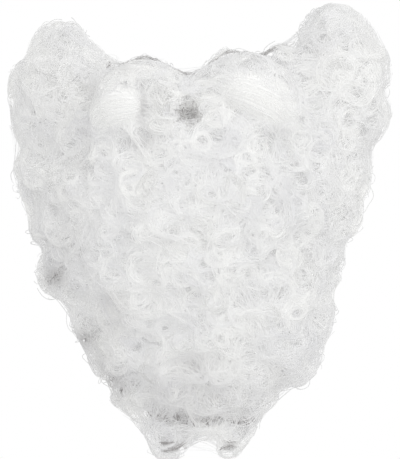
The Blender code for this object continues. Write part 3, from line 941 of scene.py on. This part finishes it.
for name, belongs in REGIONS.items():
    parts = []
    for gone, (paths, axes, homes, tones, sides) in zip(taken, groups):
        mine = belongs(homes) & ~gone
        gone |= mine
        if not mine.any():
            continue
        thickness = draw.uniform(*STRAND_RADIUS, mine.sum())
        roll = fibre_roll(mine.sum(), paths.shape[1], draw) if sides == 2 else None
        parts.append(strand_mesh(name, paths[mine], axes[mine], thickness, tones[mine], sides, roll))
    shape = bmesh.new()
    for part in parts:
        shape.from_mesh(part)
    whole = new_object(name, parts[0])
    shape.to_mesh(whole.data)
    shape.free()
    whole.data.shade_smooth()
    whole.data.materials.append(curled_material)
    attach(whole, "root")


# The moustache is two tufts of straight fibre, brushed smooth from the parting under the nose into a roll and
# down to a tip. It has no curl of its own, so it catches the light in long even streaks. A flatter lock lies
# over the left roll, along the upper edge. The tables give each roll's middle line and radius in mm.
# outwards from the parting, forwards, up, radius
BRUSHED_LEFT = (
    (1.5, 9, 17, 5),
    (28, 20, 10, 7),
    (36, 22, 10, 11),
    (45, 26, 11, 16),
    (57, 23, 8, 19),
    (66, 14, -1, 16),
    (71, 6, -11, 9),
    (74, 1, -18, 5),
)
BRUSHED_RIGHT = (
    (1.5, 9, 17, 5),
    (18, 16, 19, 7),
    (26, 19, 21, 11),
    (35, 24, 22, 16),
    (47, 25, 20, 20),
    (61, 21, 13, 21),
    (73, 12, 0, 16),
    (80, 3, -12, 8),
)
SWATH_LEFT = (
    (3, 10, 24, 3),
    (12, 16, 27, 4),
    (22, 22, 29, 6),
    (36, 28, 30, 9),
    (51, 27, 29, 10),
    (63, 19, 22, 10),
    (71, 9, 9, 8),
    (75, 2, -3, 4),
)
ROLL_ROW = 2
ROLL_RISE = 0.13
BRUSHED_STEPS = 15
BRUSHED_SHADE = (0.95, 0.95, 0.94, 1)
BRUSHED_LIGHT = (0.99, 0.99, 0.98, 1)
BRUSHED_GLOW = GLOW + 0.06
STREAK_DEPTH = 0.6 * MM
BODY_SIDES = 40
BODY_RIDGES = 9
RIDGE_SHARE = 0.012


def brushed_line(rows, side):
    """The middle line of a tuft with its radius, and the share of its length at which the roll starts."""
    table = np.array(rows, float) * MM
    table[:, 0] *= side
    table[:, 1] *= -1
    run = np.concatenate([[0], np.cumsum(np.linalg.norm(np.diff(table[:, :3], axis=0), axis=1))])
    fine = np.linspace(0, run[-1], 60)
    line = np.stack([np.interp(fine, run, table[:, column]) for column in range(4)], axis=1)
    for _ in range(12):
        line[1:-1] = (line[:-2] + 2 * line[1:-1] + line[2:]) / 4
    return line, run[ROLL_ROW] / run[-1]


def brushed_strands(rows, side, count, draw):
    """Strands that spring from the gathered start of a roll, lie round it and close at its tip."""
    line, roll_start = brushed_line(rows, side)
    share = np.linspace(0, 1, len(line))
    ahead = unit(np.gradient(line[:, :3], axis=0))
    up = unit(np.array((0, 0, 1)) - ahead * ahead[:, 2:3])
    other = np.cross(ahead, up)
    begin = roll_start + draw.uniform(-0.03, 0.03, count)
    end = 1 - draw.uniform(0, 0.3, count) ** 1.5
    places = begin[:, None] + (end - begin)[:, None] * np.linspace(0, 1, BRUSHED_STEPS)[None, :]

    def read(values):
        columns = [np.interp(places, share, column) for column in values.T]
        return np.stack(columns, axis=-1)

    at, ups, others = read(line), unit(read(up)), unit(read(other))
    depth = draw.uniform(0.95, 1.01, count)
    angle = draw.uniform(0, 2 * math.pi, count)[:, None] + 0.5 * places
    angle = angle + draw.uniform(0.01, 0.04, count)[:, None] * np.sin(
        places * draw.uniform(4, 12, count)[:, None] + draw.uniform(0, 6.28, count)[:, None]
    )
    rise = np.clip((places - roll_start) / ROLL_RISE, 0, 1)
    sink = np.clip((end[:, None] - places) / 0.15, 0, 1)
    gathered = 0.45 + 0.55 * np.sin(rise * math.pi / 2)
    reach = at[:, :, 3] * depth[:, None] * gathered * (0.8 + 0.2 * sink)
    paths = at[:, :, :3] + ups * (reach * np.cos(angle))[:, :, None]
    paths += others * (reach * np.sin(angle))[:, :, None]
    axes = unit(paths.mean(axis=1) - at[:, :, :3].mean(axis=1))
    return paths, axes


brushed_material = strand_material("brushed_strands", BRUSHED_SHADE, BRUSHED_LIGHT, 0.45, BRUSHED_GLOW)
body_material, tree, shader = node_tree("brushed_hair_body")
streaks = tree.nodes.new("ShaderNodeTexNoise")
streaks.noise_dimensions = "1D"
streaks.inputs["Scale"].default_value = 90
streaks.inputs["Detail"].default_value = 4
tree.links.new(attribute_value(tree, "round"), streaks.inputs["W"])
streak_colour = blended(tree, streaks.outputs["Fac"], BRUSHED_SHADE, BRUSHED_LIGHT)
tree.links.new(streak_colour, shader.inputs["Base Color"])
glowing(shader, BRUSHED_GLOW)
raised(tree, shader, streaks.outputs["Fac"], STREAK_DEPTH, 0.4)
shader.inputs["Roughness"].default_value = 0.42
shader.inputs["Sheen Weight"].default_value = 0.2


def brushed_body(shape, rows, side):
    """Adds the smooth body of a tuft, which lies under its outer strands and has a rounded start."""
    line, roll_start = brushed_line(rows, side)
    share = np.linspace(0, 1, len(line))
    ahead = unit(np.gradient(line[:, :3], axis=0))
    up = unit(np.array((0, 0, 1)) - ahead * ahead[:, 2:3])
    other = np.cross(ahead, up)
    layer = shape.verts.layers.float.get("round") or shape.verts.layers.float.new("round")
    rise = np.clip((share - roll_start) / ROLL_RISE, 0, 1)
    gathered = 0.42 + 0.54 * np.sin(rise * math.pi / 2)
    rings = []
    for place, point, narrow, high, wide in zip(share, line, gathered, up, other):
        ring = []
        for step in range(BODY_SIDES):
            turn = 2 * math.pi * step / BODY_SIDES
            radius = narrow * point[3] * (1 + RIDGE_SHARE * math.sin(BODY_RIDGES * turn))
            vert = shape.verts.new(point[:3] + radius * (high * math.cos(turn) + wide * math.sin(turn)))
            vert[layer] = math.sin(turn / 2) + 0.02 * place
            ring.append(vert)
        rings.append(ring)
    for ring, after in zip(rings, rings[1:]):
        for step in range(BODY_SIDES):
            beside = (step + 1) % BODY_SIDES
            shape.faces.new((ring[step], ring[beside], after[beside], after[step]))
    for ring in (rings[0], rings[-1]):
        middle = shape.verts.new(sum((vert.co for vert in ring), Vector()) / BODY_SIDES)
        for step in range(BODY_SIDES):
            shape.faces.new((ring[step], ring[(step + 1) % BODY_SIDES], middle))


# side, direction across, the tables of its rolls, strands on each
TUFTS = (
    ("left", -1, ((BRUSHED_LEFT, 330), (SWATH_LEFT, 150))),
    ("right", 1, ((BRUSHED_RIGHT, 420),)),
)
for name, side, rolls in TUFTS:
    shape = bmesh.new()
    for rows, _ in rolls:
        brushed_body(shape, rows, side)
    bmesh.ops.recalc_face_normals(shape, faces=shape.faces)
    mesh = bpy.data.meshes.new(f"moustache_{name}_body")
    shape.to_mesh(mesh)
    shape.free()
    mesh.shade_smooth()
    mesh.materials.append(body_material)
    body = new_object(f"moustache_{name}_body", mesh)
    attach(body, "root")
    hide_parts(f"moustache_{name}")
    made = [brushed_strands(rows, side, count, draw) for rows, count in rolls]
    paths = np.concatenate([roll_paths for roll_paths, _ in made])
    axes = np.concatenate([roll_axes for _, roll_axes in made])
    thickness = draw.uniform(0.16, 0.30, len(paths)) * MM
    tones = np.clip(draw.normal(0.7, 0.2, len(paths)), 0, 1)
    mesh = strand_mesh(f"moustache_{name}_strands", paths, axes, thickness, tones)
    mesh.materials.append(brushed_material)
    strands = new_object(f"moustache_{name}_strands", mesh)
    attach(strands, "root")


# In the gaps the roots of the fibre lie out of the light; their shade is painted, as strands of a dark
# colour.
# Over the lips they are loose wisps that cross the opening, in the small gaps short stubs, and along the
# upper edge a flat row on the hem.
WISP_STEPS = 9


def arcs(middles, directions, half_lengths, bends, steps):
    """Short bent strands in the plane across the beard's front."""
    share = np.linspace(-1, 1, steps)
    along = half_lengths[:, None] * share
    aside = bends[:, None] * (1 - share**2)
    return np.stack(
        [
            middles[:, :1] + np.cos(directions)[:, None] * along - np.sin(directions)[:, None] * aside,
            middles[:, 1:2] - np.abs(aside) * 0.5,
            middles[:, 2:] + np.sin(directions)[:, None] * along + np.cos(directions)[:, None] * aside,
        ],
        axis=-1,
    )


def wisp_piece(name, paths, thickness, tones, material):
    mesh = strand_mesh(name, paths * MM, np.tile((0.0, -1.0, 0.0), (len(paths), 1)), thickness * MM, tones)
    mesh.materials.append(material)
    piece = new_object(name, mesh)
    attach(piece, "root")


wisp_draw = np.random.default_rng(31)
# Painted shade: a dark colour for the strands that stand in the shade of the gaps.
painted_shade_fibre = strand_material("painted_shade_wisps", (0.28, 0.25, 0.25, 1), CURL_LIGHT, 0.7, 0.09)
MOUTH_WISPS = 360
GAP_MIDDLE = 1
GAP_HALF_WIDTH = 10
GAP_HALF_HEIGHT = 5
across = wisp_draw.uniform(-20, 22, MOUTH_WISPS)
up = wisp_draw.uniform(-6, 6, MOUTH_WISPS)
out_of_gap = np.hypot((across - GAP_MIDDLE) / GAP_HALF_WIDTH, (up + 1) / GAP_HALF_HEIGHT)
outer_wisps = wisp_draw.uniform(-34, -27, MOUTH_WISPS)
inner_wisps = wisp_draw.uniform(-29, -14, MOUTH_WISPS)
ahead = np.where(out_of_gap > 1, outer_wisps, inner_wisps)
paths = arcs(
    np.stack([across, ahead, up], axis=1),
    wisp_draw.normal(0, 0.7, MOUTH_WISPS),
    wisp_draw.uniform(3, 8, MOUTH_WISPS),
    wisp_draw.normal(0, 2.5, MOUTH_WISPS),
    WISP_STEPS,
)
# Painted shade: the wisps are darkest in the middle of the opening and lighter towards its ends.
tones = np.clip(0.70 * out_of_gap + 0.26 + wisp_draw.normal(0, 0.32, MOUTH_WISPS), 0, 1)
wisp_piece("mouth_wisps", paths, wisp_draw.uniform(0.22, 0.38, MOUTH_WISPS), tones, painted_shade_fibre)

stubs = []
for across, up, half_width, half_height in SMALL_GAPS:
    place, _, _, _ = skin.tree.ray_cast(Vector((across * MM, -1, up * MM)), Vector((0, 1, 0)))
    if place is None:
        continue
    count = int(3 + 0.6 * half_width * half_height)
    turn = wisp_draw.uniform(0, 2 * math.pi, count)
    reach = 0.6 * np.sqrt(wisp_draw.random(count))
    middles = np.stack(
        [
            across + half_width * reach * np.cos(turn),
            place.y / MM - wisp_draw.uniform(0.2, 1.4, count),
            up + half_height * reach * np.sin(turn),
        ],
        axis=1,
    )
    half = wisp_draw.uniform(0.7, 1.3, count) * (1.0 + 0.5 * half_height)
    upright = wisp_draw.normal(math.pi / 2, 0.5, count)
    stubs.append(arcs(middles, upright, half, wisp_draw.normal(0, 0.6, count), WISP_STEPS))
# The ends of the two tufts fold under, and the shade of the fold is painted as a few dark arcs.
# middle across, middle up, half length, lean in degrees, bend, strands
TUFT_FOLDS = (
    (-12, -265.5, 12, 18, -1.6, 8),
    (-17, -261, 8, 12, -1.2, 5),
    (31, -266, 7, 6, 2.0, 7),
    (32, -261.5, 6, 0, -1.6, 5),
)
for across, up, half_length, lean, bend, count in TUFT_FOLDS:
    place, _, _, _ = skin.tree.ray_cast(Vector((across * MM, -1, up * MM)), Vector((0, 1, 0)))
    if place is None:
        continue
    middles = np.array((across, place.y / MM - 2.0, up)) + wisp_draw.normal(0, 0.7, (count, 3))
    leans = np.radians(lean) + wisp_draw.normal(0, 0.12, count)
    half = half_length * wisp_draw.uniform(0.5, 1.0, count)
    stubs.append(arcs(middles, leans, half, bend * wisp_draw.uniform(0.4, 1.3, count), WISP_STEPS))
stubs = np.concatenate(stubs)
tones = np.clip(wisp_draw.normal(0.42, 0.26, len(stubs)), 0, 1)
wisp_piece("gap_roots", stubs, wisp_draw.uniform(0.18, 0.34, len(stubs)), tones, painted_shade_fibre)

# The row of roots along the upper edge is painted in shade. It follows the ridge of the hair, which is found
# from above.
EDGE_FROM = -60
EDGE_TO = 90
EDGE_STRANDS = 170
ridge = []
for across in np.arange(EDGE_FROM, EDGE_TO, 3.0):
    above = [Vector((across * MM, back * MM, 1)) for back in range(-30, 60, 4)]
    hits = [skin.tree.ray_cast(start, Vector((0, 0, -1)))[0] for start in above]
    ridge.append(max((hit for hit in hits if hit), key=lambda hit: hit.z)[:])
ridge = np.array(ridge) / MM
for _ in range(6):
    ridge[1:-1] = (ridge[:-2] + 2 * ridge[1:-1] + ridge[2:]) / 4
start = wisp_draw.uniform(0, 0.86, EDGE_STRANDS)
places = start[:, None] + wisp_draw.uniform(0.05, 0.12, EDGE_STRANDS)[:, None] * np.linspace(0, 1, 13)
share = np.linspace(0, 1, len(ridge))
edge_paths = np.stack([np.interp(places, share, ridge[:, axis]) for axis in range(3)], axis=-1)
edge_paths += wisp_draw.normal(0, 0.8, (EDGE_STRANDS, 1, 3)) + (0, -2.6, 1.0)
edge_paths[..., 2] += 0.5 * np.sin(places * 90 + wisp_draw.uniform(0, 6.28, EDGE_STRANDS)[:, None])
tones = np.clip(wisp_draw.normal(0.62, 0.16, EDGE_STRANDS) + 0.2 * start, 0, 1)
wisp_piece("edge_row", edge_paths, wisp_draw.uniform(0.14, 0.24, EDGE_STRANDS), tones, painted_shade_fibre)


# A pale studio: a wide matt floor well below the hanging beard, a white room all round, and one large soft
# light from the upper right in front.
FLOOR_DROP = 160 * MM
BACKDROP = 1.0
ROOM_LEVEL = 0.30
FROM_FRONT = 0.465
FROM_ABOVE = 0.14
FROM_RIGHT = 0.05
KEY_PLACE = (0.5, -0.9, 0.6)
KEY_SIZE = 0.8
KEY_POWER = 2.5


def aimed(obj, target):
    obj.rotation_euler = (Vector(target) - obj.location).to_track_quat("-Z", "Y").to_euler()


bpy.context.scene.view_settings.view_transform = "Standard"
room = bpy.data.worlds.new("white_room")
bpy.context.scene.world = room
room.use_nodes = True
nodes, links = room.node_tree.nodes, room.node_tree.links
background = nodes["Background"]
background.inputs["Color"].default_value = (1, 1, 1, 1)
seen = nodes.new("ShaderNodeLightPath")
towards = nodes.new("ShaderNodeTexCoord")
split = nodes.new("ShaderNodeSeparateXYZ")
links.new(towards.outputs["Generated"], split.inputs["Vector"])
lit = ROOM_LEVEL
for axis, sign, share in (("Y", -1, FROM_FRONT), ("Z", 1, FROM_ABOVE), ("X", 1, FROM_RIGHT)):
    turned = math_node(room.node_tree, "MULTIPLY", split.outputs[axis], sign)
    part = math_node(room.node_tree, "MAXIMUM", turned, 0.0)
    lit = math_node(room.node_tree, "MULTIPLY_ADD", part, share, lit)
level = nodes.new("ShaderNodeMapRange")
links.new(lit, level.inputs["To Min"])
level.inputs["To Max"].default_value = BACKDROP
links.new(seen.outputs["Is Camera Ray"], level.inputs["Value"])
links.new(level.outputs["Result"], background.inputs["Strength"])

bpy.ops.mesh.primitive_plane_add(size=6, location=(0, 0, cad_box[0][2] - FLOOR_DROP))
floor = bpy.context.object
floor.name = "floor"
floor_material, tree, shader = node_tree("pale_floor")
grain = tree.nodes.new("ShaderNodeTexNoise")
grain.inputs["Scale"].default_value = 40
grain_colour = blended(tree, grain.outputs["Fac"], (0.90, 0.90, 0.90, 1), (0.94, 0.94, 0.94, 1))
tree.links.new(grain_colour, shader.inputs["Base Color"])
shader.inputs["Roughness"].default_value = 0.9
floor.data.materials.append(floor_material)

key = bpy.data.lights.new("soft_key", "AREA")
key.shape = "DISK"
key.size = KEY_SIZE
key.energy = KEY_POWER
key_lamp = new_object("soft_key", key)
key_lamp.location = KEY_PLACE
aimed(key_lamp, (0, 0, -0.05))

# The camera looks straight at the front from a few metres away, level with the middle of the photograph.
CAMERA_DISTANCE = 4.0
CAMERA_ACROSS = 8 * MM
CAMERA_UP = -92.4 * MM
PICTURE_HEIGHT = 367.2 * MM
SENSOR_HEIGHT = 24
camera = bpy.data.cameras.new("camera")
camera.sensor_fit = "VERTICAL"
camera.sensor_height = SENSOR_HEIGHT
camera.lens = SENSOR_HEIGHT * CAMERA_DISTANCE / PICTURE_HEIGHT
camera_object = new_object("camera", camera)
camera_object.location = (CAMERA_ACROSS, -CAMERA_DISTANCE, CAMERA_UP)
aimed(camera_object, (CAMERA_ACROSS, 0, CAMERA_UP))
bpy.context.scene.camera = camera_object
